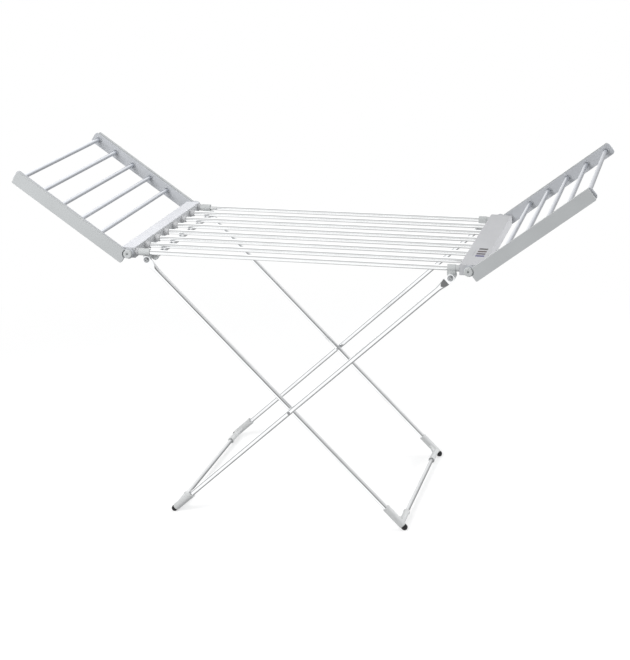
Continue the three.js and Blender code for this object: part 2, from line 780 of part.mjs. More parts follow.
function legFrame(kind, pivot_x, leg_plane, tilt) {
  const frame = new THREE.Group();
  frame.position.set(pivot_x, 0, pivot_height);
  frame.rotation.y = tilt;
  airer.add(frame);
  const leg_length = pivot_height / Math.cos(tilt);
  const branch_z = -leg_length + floor_bar_rise;
  const tube_end = -branch_z - fitting_bore_start - gap;
  for (const [where, side] of Object.entries(sides)) {
    const tube = legTube(tube_end, leg_length * crossing_share).translate(0, side * leg_plane, 0);
    place(frame, `${kind}_leg_${where}`, tube, 'leg_aluminium');
    place(frame, `${kind}_corner_${where}`, cornerFitting(leg_length, leg_plane, side), 'fitting_plastic');
    place(frame, `${kind}_foot_${where}`, rubberFoot(leg_length, leg_plane, tilt, side), 'foot_rubber');
  }
  const bar_end = leg_plane - branch_bore_start - gap;
  place(frame, `${kind}_floor_bar`, pipe(
    'y', floor_bar_radius, floor_bar_radius - floor_bar_wall, -bar_end, bar_end, hole_sides,
  ).translate(0, 0, branch_z), 'leg_aluminium');
  return { frame, crossing_z: -leg_length * crossing_share };
}

const outer_frame = legFrame('outer', outer_pivot_x, outer_leg_plane, outer_tilt);
legFrame('inner', inner_pivot_x, inner_leg_plane, inner_tilt);

// Crossing pivots: each pin goes through the outer leg and has a shoulder that spaces the inner leg off.
const shoulder_start = inner_leg_plane + leg_radius + gap;
const shoulder_end = outer_leg_plane - leg_radius - gap;
const pin_seat = outer_leg_plane + leg_radius + gap;

for (const [where, side] of Object.entries(sides)) {
  const pin = turned('y', [
    [0, shoulder_start],
    [shoulder_radius, shoulder_start],
    [shoulder_radius, shoulder_end],
    [pin_radius, shoulder_end],
    [pin_radius, pin_seat],
    [pin_head_radius, pin_seat],
    [pin_head_radius, pin_seat + pin_head_height / 2],
    [pin_head_radius / 2, pin_seat + pin_head_height],
    [0, pin_seat + pin_head_height],
  ], small_sides);
  if (side < 0) pin.rotateX(half_turn);
  place(outer_frame.frame, `crossing_pin_${where}`, pin.translate(0, 0, outer_frame.crossing_z), 'screw_steel');
}

// Wings: built flat with the hinge axis at the origin and the rungs out along +X, then tilted.
const rail_low = -rail_drop - rail_height / 2;
const rail_high = -rail_drop + rail_height / 2;
const rung_height = rung_rise - rail_drop;
const rung_start = right_housing_width - right_pivot_inset + rung_clearance;
const rail_far = rung_start + (rung_count - 1) * rung_pitch + rail_end_margin;
const rail_corner = 6;
const cover_corner = 3;
const cover_setback = 4.5;
const rail_inset = 1.4;
const rail_bevel = 1.2;
const cap_clearance = 2;
const tongue_radius = 12.4;
const rung_hole_radius = rung_radius + gap;
const ferrule_radius = 8.5;
const ferrule_length = 3;
const rung_places = Array.from({ length: rung_count }, (_, index) => rung_start + index * rung_pitch);

function railOutline(inset, end, corner) {
  return roundedOutline([
    [rail_start + inset, rail_low + inset, cover_corner],
    [end, rail_low + inset, corner],
    [end, rail_high - inset, corner],
    [rail_start + inset, rail_high - inset, 0],
  ]);
}

// A rail: a bevelled outer cover cut round the bolt's cap, on a slimmer inner layer that runs on past
// the cover's end. The layer holds the rungs in blind holes with a raised ring round each, and reaches
// the hinge axis as a round tongue.
function wingRail(side) {
  const seam = side * tongue_outer_face;
  const face = side * rail_inner_face;
  const cover = cut(
    carriedAlongY(
      railOutline(0, rail_far - cover_setback, cover_corner), seam, side * rail_outer_face, rail_bevel,
    ),
    rod('y', cap_radius + cap_clearance, seam - side * cut_overrun, side * (rail_outer_face + cut_overrun)),
  );
  const holes = [[0, bolt_hole_radius + gap], ...rung_places.map((x) => [x, rung_hole_radius])];
  const hole_end = seam - side * gap;
  const layer = join(
    carriedAlongY(railOutline(rail_inset, rail_far, rail_corner), face, seam + side * cut_overrun),
    rod('y', tongue_radius, face, seam),
    block([0, rail_start + tongue_radius], [face, seam], [-tongue_radius, rail_high - rail_inset]),
  );
  const ferrules = rung_places.map((x) => rod(
    'y', ferrule_radius, side * (rail_inner_face - ferrule_length), seam, small_sides,
  ).translate(x, 0, rung_height));
  const pocket = rod('y', cap_radius + cap_clearance, seam, side * (rail_outer_face + cut_overrun));
  const drilled = holes.map(([x, radius], index) => rod(
    'y', radius, face - side * (ferrule_length + cut_overrun), index === 0 ? seam + side * cut_overrun : hole_end,
    small_sides,
  ).translate(x, 0, index === 0 ? 0 : rung_height));
  return cut(join(cover, layer, ...ferrules), pocket, ...drilled);
}

function wing(name, pivot_x, outward, rise) {
  const frame = new THREE.Group();
  frame.position.set(pivot_x, 0, wing_pivot_height);
  frame.rotation.set(0, -outward * THREE.MathUtils.degToRad(rise), outward < 0 ? half_turn : 0, 'YZX');
  airer.add(frame);
  for (const [where, side] of Object.entries(sides)) {
    place(frame, `${name}_rail_${where}`, wingRail(outward * side), 'rail_plastic');
  }
  const rung_end = tongue_outer_face - 2 * gap;
  rung_places.forEach((x, index) => {
    const rung = pipe('y', rung_radius, rung_radius - rung_wall, -rung_end, rung_end, hole_sides);
    place(frame, `${name}_rung_${index + 1}`, rung.translate(x, 0, rung_height), 'rung_aluminium');
  });
}

wing('left_wing', left_wing_pivot, -1, left_wing_rise);
wing('right_wing', right_wing_pivot, 1, right_wing_rise);

// The origin is on the floor, under the middle of the whole airer.
airer.updateMatrixWorld(true);
const bounds = new THREE.Box3().setFromObject(airer, true);
const middle = bounds.getCenter(new THREE.Vector3());
airer.position.set(-middle.x, -middle.y, -bounds.min.z);
airer.updateMatrixWorld(true);

export default airer;
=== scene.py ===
from collections import namedtuple
from math import acos, atan2, cos, hypot, pi, radians, sin, sqrt

import bpy
import bmesh
from mathutils import Matrix, Vector


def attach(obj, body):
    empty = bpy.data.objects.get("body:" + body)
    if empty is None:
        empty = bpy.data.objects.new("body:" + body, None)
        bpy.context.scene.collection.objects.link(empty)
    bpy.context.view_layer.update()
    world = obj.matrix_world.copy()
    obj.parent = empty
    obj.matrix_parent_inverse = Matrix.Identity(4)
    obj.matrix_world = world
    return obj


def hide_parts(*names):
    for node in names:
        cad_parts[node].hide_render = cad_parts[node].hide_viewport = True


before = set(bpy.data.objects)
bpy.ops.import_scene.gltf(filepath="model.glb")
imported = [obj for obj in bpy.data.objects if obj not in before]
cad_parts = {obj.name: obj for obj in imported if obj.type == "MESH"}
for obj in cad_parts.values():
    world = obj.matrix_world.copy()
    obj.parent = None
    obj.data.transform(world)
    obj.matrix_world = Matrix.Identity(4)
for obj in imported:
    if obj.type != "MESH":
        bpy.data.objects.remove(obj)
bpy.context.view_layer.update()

# Viewpoint: from the front right and about 19 degrees above level, found by fitting the pivots, feet
# and rung ends. The lens is long, so the rack's sides stay nearly parallel.
camera_place = (0.9202, -3.3526, 1.5816)
view_turn, view_drop, view_roll = radians(-15.59), radians(18.61), radians(-1.4)
forward = Vector((sin(view_turn) * cos(view_drop), cos(view_turn) * cos(view_drop), -sin(view_drop)))
level = Vector((cos(view_turn), -sin(view_turn), 0))
upward = level.cross(forward)
right_hand = level * cos(view_roll) + upward * sin(view_roll)
head_up = upward * cos(view_roll) - level * sin(view_roll)
camera_data = bpy.data.cameras.new("camera")
camera_data.lens = 80.8
camera_data.sensor_width = 36
camera_data.clip_end = 50
camera = bpy.data.objects.new("camera", camera_data)
view_axes = Matrix((right_hand, head_up, -forward)).transposed().to_4x4()
camera.matrix_world = Matrix.Translation(camera_place) @ view_axes
bpy.context.scene.collection.objects.link(camera)
bpy.context.scene.camera = camera
bpy.context.scene.view_settings.view_transform = "Standard"

# White studio: plain white to the camera, and to the plastics a soft sky that is brightest overhead.
# Its strength lets a colour render about as it is written.
world = bpy.data.worlds.new("studio")
bpy.context.scene.world = world
world.use_nodes = True
nodes, links = world.node_tree.nodes, world.node_tree.links
nodes.clear()
world_out = nodes.new("ShaderNodeOutputWorld")
around = nodes.new("ShaderNodeBackground")
around.inputs["Strength"].default_value = 0.50
sky = nodes.new("ShaderNodeValToRGB")
sky.color_ramp.elements[0].position = 0.0
sky.color_ramp.elements[0].color = (0.62, 0.63, 0.64, 1)
sky.color_ramp.elements[1].position = 1.0
sky.color_ramp.elements[1].color = (1.35, 1.35, 1.36, 1)
for place, tone in ((0.46, 0.55), (0.52, 0.55), (0.6, 0.8), (0.7, 1.0)):
    element = sky.color_ramp.elements.new(place)
    element.color = (tone, tone * 1.01, tone * 1.02, 1)
sky_place = nodes.new("ShaderNodeTexCoord")
sky_split = nodes.new("ShaderNodeSeparateXYZ")
sky_range = nodes.new("ShaderNodeMapRange")
sky_range.inputs["From Min"].default_value = -1
sky_range.inputs["From Max"].default_value = 1
links.new(sky_place.outputs["Generated"], sky_split.inputs["Vector"])
links.new(sky_split.outputs["Z"], sky_range.inputs["Value"])
links.new(sky_range.outputs["Result"], sky.inputs["Fac"])
links.new(sky.outputs["Color"], around.inputs["Color"])

# What the polished metal sees: white in front, behind the airer a ramp that is dark below and to the
# right, and six soft grey cards. Each card has a direction, its outer and inner edge and its tone.
direction = sky_place.outputs["Generated"]
front_tone = None
for toward, outer_edge, inner_edge, tone in (
    ((0.05, 0.99, 0.10), 0.945, 0.975, 0.62),
    ((0.28, -0.93, 0.22), 0.87, 0.95, 0.18),
    ((0.80, -0.10, 0.60), 0.75, 0.93, 0.56),
    ((-0.20, -0.50, 0.84), 0.82, 0.93, 0.58),
    ((-0.95, -0.05, 0.30), 0.85, 0.94, 0.46),
    ((0.35, 0.10, -0.93), 0.72, 0.88, 0.32),
):
    card_side = nodes.new("ShaderNodeVectorMath")
    card_side.operation = "DOT_PRODUCT"
    card_side.inputs[1].default_value = Vector(toward).normalized()
    card = nodes.new("ShaderNodeMapRange")
    card.interpolation_type = "SMOOTHSTEP"
    card.inputs["From Min"].default_value = outer_edge
    card.inputs["From Max"].default_value = inner_edge
    card.inputs["To Min"].default_value = 1.0
    card.inputs["To Max"].default_value = tone
    links.new(direction, card_side.inputs[0])
    links.new(card_side.outputs["Value"], card.inputs["Value"])
    if not front_tone:
        back_card = front_tone = card.outputs["Result"]
        continue
    both = nodes.new("ShaderNodeMath")
    both.operation = "MULTIPLY"
    links.new(front_tone, both.inputs[0])
    links.new(card.outputs["Result"], both.inputs[1])
    front_tone = both.outputs["Value"]
behind_side = nodes.new("ShaderNodeVectorMath")
behind_side.operation = "DOT_PRODUCT"
behind_side.inputs[1].default_value = (-0.5, 0, 0.8)
behind = nodes.new("ShaderNodeMapRange")
behind.inputs["From Min"].default_value = -0.42
behind.inputs["From Max"].default_value = 0.40
behind.inputs["To Min"].default_value = 0.34
behind.inputs["To Max"].default_value = 1.45
backward = nodes.new("ShaderNodeMapRange")
backward.interpolation_type = "SMOOTHSTEP"
backward.inputs["From Min"].default_value = 0.15
backward.inputs["From Max"].default_value = 0.5
around_tone = nodes.new("ShaderNodeMix")
seen_tone = nodes.new("ShaderNodeMix")
seen_tone.inputs[3].default_value = 1.0
brightened = nodes.new("ShaderNodeMath")
brightened.operation = "MULTIPLY"
brightened.inputs[1].default_value = 1.16
ray = nodes.new("ShaderNodeLightPath")
seen = nodes.new("ShaderNodeBackground")
seen.inputs["Color"].default_value = (1, 1, 1, 1)
camera_or_glossy = nodes.new("ShaderNodeMath")
camera_or_glossy.operation = "MAXIMUM"
straight_rays = nodes.new("ShaderNodeMath")
straight_rays.operation = "MAXIMUM"
studio = nodes.new("ShaderNodeMixShader")
links.new(direction, behind_side.inputs[0])
links.new(behind_side.outputs["Value"], behind.inputs["Value"])
links.new(sky_split.outputs["Y"], backward.inputs["Value"])
links.new(backward.outputs["Result"], around_tone.inputs[0])
links.new(front_tone, brightened.inputs[0])
links.new(brightened.outputs["Value"], around_tone.inputs[2])
dimmed = nodes.new("ShaderNodeMath")
dimmed.operation = "MULTIPLY"
links.new(behind.outputs["Result"], dimmed.inputs[0])
links.new(back_card, dimmed.inputs[1])
links.new(dimmed.outputs["Value"], around_tone.inputs[3])
links.new(ray.outputs["Is Camera Ray"], seen_tone.inputs[0])
links.new(around_tone.outputs[0], seen_tone.inputs[2])
links.new(seen_tone.outputs[0], seen.inputs["Strength"])
links.new(ray.outputs["Is Camera Ray"], camera_or_glossy.inputs[0])
links.new(ray.outputs["Is Glossy Ray"], camera_or_glossy.inputs[1])
links.new(camera_or_glossy.outputs["Value"], straight_rays.inputs[0])
links.new(ray.outputs["Is Transmission Ray"], straight_rays.inputs[1])
links.new(straight_rays.outputs["Value"], studio.inputs["Fac"])
links.new(around.outputs["Background"], studio.inputs[1])
links.new(seen.outputs["Background"], studio.inputs[2])
links.new(studio.outputs["Shader"], world_out.inputs["Surface"])

# Floor: a matt white sheet just below the feet. Round them it takes the airer's soft shadow, and
# further out it fades to plain white. The polished tubes look through it at the grey cards.
floor_reach = 9
floor_mesh = bpy.data.meshes.new("floor")
floor_mesh.from_pydata([
    (-floor_reach, -floor_reach, 0), (floor_reach, -floor_reach, 0),
    (floor_reach, floor_reach, 0), (-floor_reach, floor_reach, 0),
], [], [(0, 1, 2, 3)])
floor = bpy.data.objects.new("floor", floor_mesh)
floor.location.z = -0.0004
bpy.context.scene.collection.objects.link(floor)
floor_finish = bpy.data.materials.new("floor_white")
floor_finish.use_nodes = True
nodes, links = floor_finish.node_tree.nodes, floor_finish.node_tree.links
floor_shader = nodes["Principled BSDF"]
floor_shader.inputs["Base Color"].default_value = (0.55, 0.55, 0.55, 1)
floor_shader.inputs["Roughness"].default_value = 0.9
floor_shader.inputs["Specular IOR Level"].default_value = 0.0
floor_shader.inputs["Emission Color"].default_value = (1, 1, 1, 1)
floor_shader.inputs["Emission Strength"].default_value = 0.5
floor_spot = nodes.new("ShaderNodeNewGeometry")
floor_distance = nodes.new("ShaderNodeVectorMath")
floor_distance.operation = "LENGTH"
floor_fade = nodes.new("ShaderNodeMapRange")
floor_fade.interpolation_type = "SMOOTHSTEP"
floor_fade.inputs["From Min"].default_value = 0.8
floor_fade.inputs["From Max"].default_value = 1.9
floor_far = nodes.new("ShaderNodeEmission")
floor_far.inputs["Color"].default_value = (1, 1, 1, 1)
floor_seen = nodes.new("ShaderNodeMixShader")
floor_glow = nodes.new("ShaderNodeEmission")
floor_glow.inputs["Color"].default_value = (0.56, 0.565, 0.57, 1)
floor_clear = nodes.new("ShaderNodeBsdfTransparent")
floor_ray = nodes.new("ShaderNodeLightPath")
floor_lit = nodes.new("ShaderNodeMixShader")
floor_mix = nodes.new("ShaderNodeMixShader")
links.new(floor_spot.outputs["Position"], floor_distance.inputs[0])
links.new(floor_distance.outputs["Value"], floor_fade.inputs["Value"])
links.new(floor_fade.outputs["Result"], floor_seen.inputs["Fac"])
links.new(floor_shader.outputs["BSDF"], floor_seen.inputs[1])
links.new(floor_far.outputs["Emission"], floor_seen.inputs[2])
links.new(floor_ray.outputs["Is Glossy Ray"], floor_lit.inputs["Fac"])
links.new(floor_glow.outputs["Emission"], floor_lit.inputs[1])
links.new(floor_clear.outputs["BSDF"], floor_lit.inputs[2])
links.new(floor_ray.outputs["Is Camera Ray"], floor_mix.inputs["Fac"])
links.new(floor_lit.outputs["Shader"], floor_mix.inputs[1])
links.new(floor_seen.outputs["Shader"], floor_mix.inputs[2])
links.new(floor_mix.outputs["Shader"], nodes["Material Output"].inputs["Surface"])
floor_mesh.materials.append(floor_finish)

# Lamps: three soft boxes on stands, one at the front left, one at the right and one high at the
# back. They show in no reflection, since the grey cards stand in for the room there.
for name, spot, aim, size, power in (
    ("key_light", (-1.2, -2.1, 2.2), (-0.2, 0, 0.65), 1.6, 56),
    ("side_light", (2.6, 0.8, 0.75), (0.3, 0, 0.65), 1.0, 40),
    ("back_light", (1.6, 3.4, 2.6), (0, 0, 0.6), 2.4, 24),
):
    lamp = bpy.data.lights.new(name, "AREA")
    lamp.size = size
    lamp.energy = power
    light = bpy.data.objects.new(name, lamp)
    light.location = spot
    light.visible_camera = False
    light.visible_glossy = False
    light.rotation_euler = (Vector(aim) - Vector(spot)).to_track_quat("-Z", "Y").to_euler()
    bpy.context.scene.collection.objects.link(light)


# Heated bars: eight drawn aluminium tubes, 12 mm across with a 1 mm wall, brushed along their
# length and lightly polished. Their ends go into the two housings.
def metal(name, colour, roughness, grain, contrast=0.05, turn=0):
    finish = bpy.data.materials.new(name)
    finish.use_nodes = True
    nodes, links = finish.node_tree.nodes, finish.node_tree.links
    shader = nodes["Principled BSDF"]
    shader.inputs["Metallic"].default_value = 1.0
    place = nodes.new("ShaderNodeTexCoord")
    stretch = nodes.new("ShaderNodeMapping")
    stretch.vector_type = "TEXTURE"
    stretch.inputs["Rotation"].default_value = (0, turn, 0)
    stretch.inputs["Scale"].default_value = [0.11 if axis == grain else 0.0007 for axis in "XYZ"]
    lines = nodes.new("ShaderNodeTexNoise")
    lines.inputs["Scale"].default_value = 1.0
    lines.inputs["Detail"].default_value = 3.0
    cloud = nodes.new("ShaderNodeTexNoise")
    cloud.inputs["Scale"].default_value = 24.0
    cloud.inputs["Detail"].default_value = 4.0
    tone = nodes.new("ShaderNodeValToRGB")
    tone.color_ramp.elements[0].position = 0.3
    tone.color_ramp.elements[0].color = [part * (1 - contrast) for part in colour] + [1]
    tone.color_ramp.elements[1].position = 0.72
    tone.color_ramp.elements[1].color = [min(1, part * (1 + contrast / 2)) for part in colour] + [1]
    gloss = nodes.new("ShaderNodeMapRange")
    gloss.inputs["To Min"].default_value = roughness - 0.03
    gloss.inputs["To Max"].default_value = roughness + 0.04
    relief = nodes.new("ShaderNodeBump")
    relief.inputs["Strength"].default_value = 0.04
    relief.inputs["Distance"].default_value = 0.00005
    links.new(place.outputs["Object"], stretch.inputs["Vector"])
    links.new(stretch.outputs["Vector"], lines.inputs["Vector"])
    links.new(place.outputs["Object"], cloud.inputs["Vector"])
    links.new(cloud.outputs["Fac"], tone.inputs["Fac"])
    links.new(tone.outputs["Color"], shader.inputs["Base Color"])
    links.new(lines.outputs["Fac"], gloss.inputs["Value"])
    links.new(gloss.outputs["Result"], shader.inputs["Roughness"])
    links.new(lines.outputs["Fac"], relief.inputs["Height"])
    links.new(relief.outputs["Normal"], shader.inputs["Normal"])
    return finish


def turned(profile, axis="Z", sides=40, closed=False, bend=None):
    """A round form from (radius, place along the axis) points. closed joins its last ring to its first,
    and bend gives a factor for the radius of one point of a ring."""
    points, faces = [], []
    for radius, along in profile:
        for step in range(sides):
            angle = 2 * pi * step / sides
            reach = radius * (bend((radius, along), angle) if bend else 1)
            a, b = reach * cos(angle), reach * sin(angle)
            points.append({"X": (along, a, b), "Y": (b, along, a), "Z": (a, b, along)}[axis])
    rings = len(profile)
    for ring in range(rings if closed else rings - 1):
        here, there = ring * sides, (ring + 1) % rings * sides
        for step in range(sides):
            after = (step + 1) % sides
            faces.append((here + step, here + after, there + after, there + step))
    if not closed:
        faces.append(tuple(range(sides)))
        faces.append(tuple((rings - 1) * sides + step for step in range(sides)))
    return points, faces


def tube(axis, outer, bore, start, end, sides=40):
    rim = min(0.25, (outer - bore) / 3)
    profile = [
        (bore + rim, start), (outer - rim, start), (outer, start + rim), (outer, end - rim),
        (outer - rim, end), (bore + rim, end), (bore, end - rim), (bore, start + rim),
    ]
    return turned(profile, axis, sides, closed=True)


def shifted(form, x=0, y=0, z=0):
    return [(a + x, b + y, c + z) for a, b, c in form[0]], form[1]


def make(
    name, forms, finish, body, stands_for=(), holes=(), place=None, edge=0, melt=0, crease=40,
):
    """One piece from forms in millimetres: the holes are cut away, edge bevels its arrises and melt
    blends its joins. It rides on body and replaces the nodes in stands_for."""
    def link(label, pieces):
        points, faces = [], []
        for some, corners in pieces:
            start = len(points)
            points += [(a / 1000, b / 1000, c / 1000) for a, b, c in some]
            faces += [tuple(corner + start for corner in face) for face in corners]
        mesh = bpy.data.meshes.new(label)
        mesh.from_pydata(points, [], faces)
        shape = bmesh.new()
        shape.from_mesh(mesh)
        bmesh.ops.recalc_face_normals(shape, faces=shape.faces)
        shape.to_mesh(mesh)
        shape.free()
        made = bpy.data.objects.new(label, mesh)
        bpy.context.scene.collection.objects.link(made)
        return made

    piece = link(name, forms)
    cutter = link(name + "_cutter", holes) if holes else None
    if cutter:
        step = piece.modifiers.new("holes", "BOOLEAN")
        step.operation = "DIFFERENCE"
        step.object = cutter
        step.solver = "EXACT"
        step.use_self = True
        piece.modifiers.new("triangles", "TRIANGULATE")
    if melt:
        step = piece.modifiers.new("melt", "REMESH")
        step.mode = "VOXEL"
        step.voxel_size = melt / 1000
        step = piece.modifiers.new("soften", "SMOOTH")
        step.factor = 0.5
        step.iterations = 5
        step = piece.modifiers.new("thin", "DECIMATE")
        step.ratio = 0.3
    if edge:
        step = piece.modifiers.new("edge", "BEVEL")
        step.width = edge / 1000
        step.segments = 3
        step.limit_method = "ANGLE"
        step.angle_limit = radians(50)
    if cutter or melt or edge:
        bpy.context.view_layer.update()
        sight = bpy.context.evaluated_depsgraph_get()
        mesh = bpy.data.meshes.new_from_object(piece.evaluated_get(sight))
        piece.modifiers.clear()
        piece.data = mesh
        if cutter:
            bpy.data.objects.remove(cutter)
    piece.data.shade_smooth()
    piece.data.set_sharp_from_angle(angle=radians(crease))
    if edge:
        piece.modifiers.new("even", "WEIGHTED_NORMAL").keep_sharp = True
    if place:
        piece.data.transform(place)
    piece.data.materials.clear()
    piece.data.materials.append(finish)
    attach(piece, body)
    if stands_for:
        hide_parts(stands_for)


middle_x = 3.945
bar_metal = metal("bar_aluminium", (0.87, 0.88, 0.885), 0.16, "X")
bar_radius, bar_bore, bar_fit = 6, 5, 6.3
bar_z, outer_bar_y = 653, 219
bar_places = [outer_bar_y * (2 * index / 7 - 1) for index in range(8)]
for index, y in enumerate(bar_places):
    node = {0: "front_bar", 7: "back_bar"}.get(index, f"middle_bar_{index}")
    form = shifted(tube("X", bar_radius, bar_bore, -396.5, 386.5, 48), middle_x, y, bar_z)
    make(node + "_tube", [form], bar_metal, "rack", node)


# Left housing: an injection-moulded cover, near white with a faint grid of squares on faces that look
# up and grey on its walls.
# The colour is chosen by the direction each face looks. Its inner wall carries a round collar for each
# bar, and each end a low round boss for the hinge.
def plastic(name, colour, roughness=0.5, grain=0.12, shade=0.035, sides=None):
    """Moulded plastic. With sides, faces that look up get a fine grid and every other face takes the
    tint sides.
    """
    finish = bpy.data.materials.new(name)
    finish.use_nodes = True
    nodes, links = finish.node_tree.nodes, finish.node_tree.links
    shader = nodes["Principled BSDF"]
    shader.inputs["Specular IOR Level"].default_value = 0.4
    place = nodes.new("ShaderNodeTexCoord")
    cloud = nodes.new("ShaderNodeTexNoise")
    cloud.inputs["Scale"].default_value = 14.0
    cloud.inputs["Detail"].default_value = 5.0
    tone = nodes.new("ShaderNodeValToRGB")
    tone.color_ramp.elements[0].position = 0.28
    tone.color_ramp.elements[0].color = [part * (1 - shade) for part in colour] + [1]
    tone.color_ramp.elements[1].position = 0.75
    tone.color_ramp.elements[1].color = [min(1, part * (1 + shade)) for part in colour] + [1]
    speck = nodes.new("ShaderNodeTexNoise")
    speck.inputs["Scale"].default_value = 1500
    speck.inputs["Detail"].default_value = 2.0
    smear = nodes.new("ShaderNodeTexNoise")
    smear.inputs["Scale"].default_value = 70.0
    gloss = nodes.new("ShaderNodeMapRange")
    gloss.inputs["To Min"].default_value = roughness - 0.07
    gloss.inputs["To Max"].default_value = roughness + 0.08
    relief = nodes.new("ShaderNodeBump")
    relief.inputs["Strength"].default_value = grain
    relief.inputs["Distance"].default_value = 0.00015
    for texture in (cloud, speck, smear):
        links.new(place.outputs["Object"], texture.inputs["Vector"])
    links.new(cloud.outputs["Fac"], tone.inputs["Fac"])
    links.new(tone.outputs["Color"], shader.inputs["Base Color"])
    links.new(smear.outputs["Fac"], gloss.inputs["Value"])
    links.new(gloss.outputs["Result"], shader.inputs["Roughness"])
    links.new(speck.outputs["Fac"], relief.inputs["Height"])
    links.new(relief.outputs["Normal"], shader.inputs["Normal"])
    if sides:
        grid = nodes.new("ShaderNodeTexBrick")
        grid.offset = 0.0
        grid.inputs["Scale"].default_value = 1000
        grid.inputs["Brick Width"].default_value = 7.0
        grid.inputs["Row Height"].default_value = 7.0
        grid.inputs["Mortar Size"].default_value = 0.8
        grid.inputs["Mortar Smooth"].default_value = 0.3
        grid.inputs["Color1"].default_value = (0.80, 0.82, 0.86, 1)
        grid.inputs["Color2"].default_value = (0.88, 0.88, 0.92, 1)
        grid.inputs["Mortar"].default_value = (1, 1, 1, 1)
        # The mask on_top follows each face's direction: grid colours where a face looks up, the tint
        # sides on the walls.
        facing = nodes.new("ShaderNodeSeparateXYZ")
        on_top = nodes.new("ShaderNodeMapRange")
        on_top.inputs["From Min"].default_value = 0.55
        on_top.inputs["From Max"].default_value = 0.75
        printed = nodes.new("ShaderNodeMix")
        printed.data_type = "RGBA"
        printed.blend_type = "MULTIPLY"
        printed.inputs[0].default_value = 1.0
        shades = nodes.new("ShaderNodeMix")
        shades.data_type = "RGBA"
        shades.inputs[6].default_value = sides + (1,)
        links.new(place.outputs["Object"], grid.inputs["Vector"])
        links.new(place.outputs["Normal"], facing.inputs["Vector"])
        links.new(facing.outputs["Z"], on_top.inputs["Value"])
        links.new(on_top.outputs["Result"], shades.inputs[0])
        links.new(grid.outputs["Color"], shades.inputs[7])
        links.new(tone.outputs["Color"], printed.inputs[6])
        links.new(shades.outputs[2], printed.inputs[7])
        links.new(printed.outputs[2], shader.inputs["Base Color"])
    return finish


def rounded(corners, steps=6):
    """Outline points through (x, z, radius) corners, each radius drawn as an arc-like curve."""
    fullness = 0.86
    outline = []
    for index, (x, z, radius) in enumerate(corners):
        here = Vector((x, z))
        if radius == 0:
            outline.append((x, z))
            continue
        before = Vector(corners[index - 1][:2]) - here
        after = Vector(corners[(index + 1) % len(corners)][:2]) - here
        arrive = here + before.normalized() * radius
        leave = here + after.normalized() * radius
        for step in range(steps + 1):
            t = step / steps
            parts = ((1 - t) ** 2, 2 * t * (1 - t) * fullness, t * t)
            point = (arrive * parts[0] + here * parts[1] + leave * parts[2]) / sum(parts)
            outline.append((point.x, point.y))
    return outline


def carried(outline, start, end):
    """An outline in the X-Z plane carried along Y."""
    count = len(outline)
    points = [(x, start, z) for x, z in outline] + [(x, end, z) for x, z in outline]
    faces = [tuple(range(count)), tuple(range(count, 2 * count))]
    faces += [(i, (i + 1) % count, (i + 1) % count + count, i + count) for i in range(count)]
    return points, faces


def box(x, y, z):
    """A block between two values of x, two of y and two of z."""
    points = [(a, b, c) for c in z for b in y for a in x]
    faces = [(0, 2, 3, 1), (4, 5, 7, 6), (0, 1, 5, 4), (2, 6, 7, 3), (0, 4, 6, 2), (1, 3, 7, 5)]
    return points, faces


def mirrored(forms, side):
    """The forms of a piece at the back, or their mirror image for the front."""
    return [([(x, side * y, z) for x, y, z in points], faces) for points, faces in forms]


halves = {"front": -1, "back": 1}
wing_pivot_x, wing_pivot_z = 403, 652.5
housing_bottom, housing_top = 640, 665


def housing_cover(name, low_x, high_x, bores, pivot_x, finish, node):
    """A housing's cover, open below, with a bore for each bar and a hinge boss at both ends."""
    wall, end_y = 2.2, 228
    roof = housing_top - wall
    outline = rounded([
        (low_x, housing_bottom, 0), (high_x, housing_bottom, 0),
        (high_x, housing_top, 3), (low_x, housing_top, 3),
    ])
    cavity = rounded([
        (low_x + wall, housing_bottom - 10, 0), (high_x - wall, housing_bottom - 10, 0),
        (high_x - wall, roof, 1.5), (low_x + wall, roof, 1.5),
    ])
    boss = shifted(turned([(9, 224), (9, 229.7)], "Y", 48), pivot_x, 0, wing_pivot_z)
    forms = [carried(outline, -end_y, end_y)]
    for side in halves.values():
        forms += mirrored([boss], side)
    holes = [carried(cavity, wall - end_y, end_y - wall)]
    holes += [shifted(turned([(bar_fit, x) for x in bores], "X"), 0, y, bar_z) for y in bar_places]
    make(
        name, [shifted(form, middle_x) for form in forms], finish, "rack", node,
        [shifted(form, middle_x) for form in holes], edge=0.7,
    )


grid_plastic = plastic("white_plastic_grid", (0.85, 0.855, 0.87), 0.46, sides=(0.65, 0.66, 0.665))
housing_cover(
    "left_cover_shell", -425, -390, (-395, -374), -wing_pivot_x, grid_plastic,
    "left_housing_cover",
)
collar_plastic = plastic("collar_plastic", (0.50, 0.505, 0.515), 0.46)
collars = []
for y in bar_places:
    end = -378 if abs(y) < outer_bar_y else -383.5
    collars.append(shifted(turned([
        (bar_fit, -390.4), (8.6, -390.4), (8.6, -388.5), (8, -387.5), (8, end - 0.5), (7.5, end),
        (6.8, end), (bar_fit, end - 0.5),
    ], "X", 48, closed=True), middle_x, y, bar_z))
make("left_bar_collars", collars, collar_plastic, "rack", "left_housing_cover")
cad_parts["left_housing_plate"].material_slots[0].material = collar_plastic

# Right housing: the same moulding, wider, without collars and in a slightly greyer plastic. A plate
# closes it from below, as at the left.
control_plastic = plastic("control_plastic", (0.525, 0.53, 0.545), 0.5)
housing_cover(
    "right_cover_shell", 380, 433.5, (370, 386), wing_pivot_x, control_plastic,
    "right_housing_cover",
)
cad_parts["right_housing_plate"].material_slots[0].material = control_plastic

